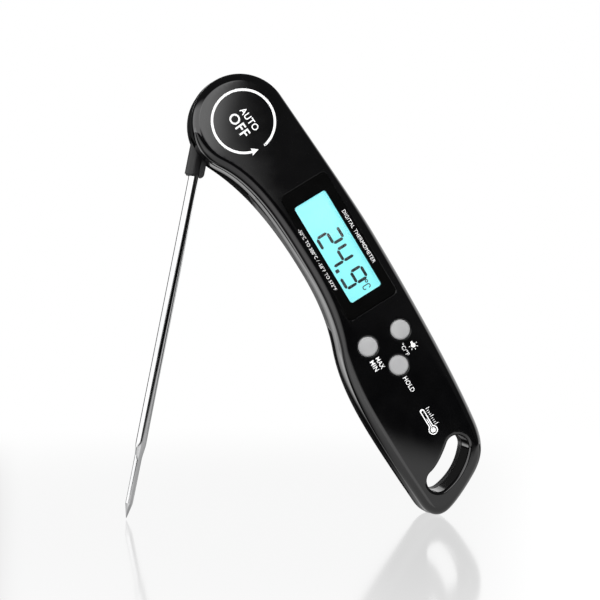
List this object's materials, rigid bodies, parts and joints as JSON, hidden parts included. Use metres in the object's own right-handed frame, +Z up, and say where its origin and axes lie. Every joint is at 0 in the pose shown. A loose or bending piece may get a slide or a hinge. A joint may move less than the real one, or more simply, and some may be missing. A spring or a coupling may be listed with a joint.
{
  "type": "folding digital meat thermometer",
  "caption": "Folding probe thermometer: two-shell handle with lit display, round keys, hanging slot and back magnet, and a steel probe on a pivoting hub.",
  "frame": {"origin": "centre of the back magnet's face, which lies 0.2 mm behind the rear shell", "axes": "+Z up, +Y out of the back (the display faces -Y), +X to the right as seen from the front; the handle leans 31.6 degrees from the vertical"},
  "size_m": [0.1277, 0.0193, 0.1578],
  "materials": {
    "gloss_black": "polished moulded black plastic",
    "satin_black": "fine satin moulded black plastic",
    "key_grey": "satin mid-grey key caps",
    "steel": "polished drawn stainless steel",
    "plated_steel": "nickel-plated steel",
    "magnet": "nickel-plated magnet",
    "copper": "phosphor bronze spring strip",
    "seal_rubber": "matte silicone rubber",
    "window": "clear acrylic with a printed black border",
    "display": "cyan-lit liquid crystal panel",
    "board": "green circuit board",
    "chip": "black component moulding",
    "lead": "insulated wire"
  },
  "bodies": {
    "handle": {"front_shell": "gloss_black", "rear_shell": "satin_black", "bay_gasket": "seal_rubber", "display_window": "window", "lcd_panel": "display", "backlight_panel": "display", "lcd_connector": "seal_rubber", "circuit_board": "board", "controller_chip": "chip", "fold_sensor": "chip", "buzzer": "chip", "switch_light_unit": "chip", "switch_max_min": "chip", "switch_hold": "chip", "coin_cell": "steel", "battery_clip_positive": "plated_steel", "battery_leaf_negative": "copper", "board_lead": "lead", "case_screw_1": "plated_steel", "case_screw_2": "plated_steel", "case_screw_3": "plated_steel", "case_screw_4": "plated_steel", "pivot_screw": "plated_steel", "back_magnet": "magnet"},
    "probe": {"probe_hub": "satin_black", "probe_tube": "steel", "sensor_bead": "chip", "probe_lead": "lead", "hub_magnet": "magnet", "hub_seal": "seal_rubber"},
    "key_light_unit": {"button_light_unit": "key_grey"},
    "key_max_min": {"button_max_min": "key_grey"},
    "key_hold": {"button_hold": "key_grey"},
    "battery_cover": {"battery_door": "satin_black", "door_seal": "seal_rubber"}
  },
  "joints": [
    {"name": "probe_fold", "type": "hinge", "parent": "handle", "child": "probe", "pos_m": [-0.03131, 0, 0.03944], "axis": [0, 1, 0], "range_deg": [-42.8, 137.2]},
    {"name": "press_light_unit", "type": "slide", "parent": "handle", "child": "key_light_unit", "axis": [0, 1, 0], "range_m": [0, 0.0006], "stiffness_N_per_m": 1200, "springref_m": -0.0004},
    {"name": "press_max_min", "type": "slide", "parent": "handle", "child": "key_max_min", "axis": [0, 1, 0], "range_m": [0, 0.0006], "stiffness_N_per_m": 1200, "springref_m": -0.0004},
    {"name": "press_hold", "type": "slide", "parent": "handle", "child": "key_hold", "axis": [0, 1, 0], "range_m": [0, 0.0006], "stiffness_N_per_m": 1200, "springref_m": -0.0004},
    {"name": "battery_cover_twist", "type": "hinge", "parent": "handle", "child": "battery_cover", "pos_m": [0.02657, 0, -0.04471], "axis": [0, 1, 0], "range_deg": [0, 40]}
  ]
}
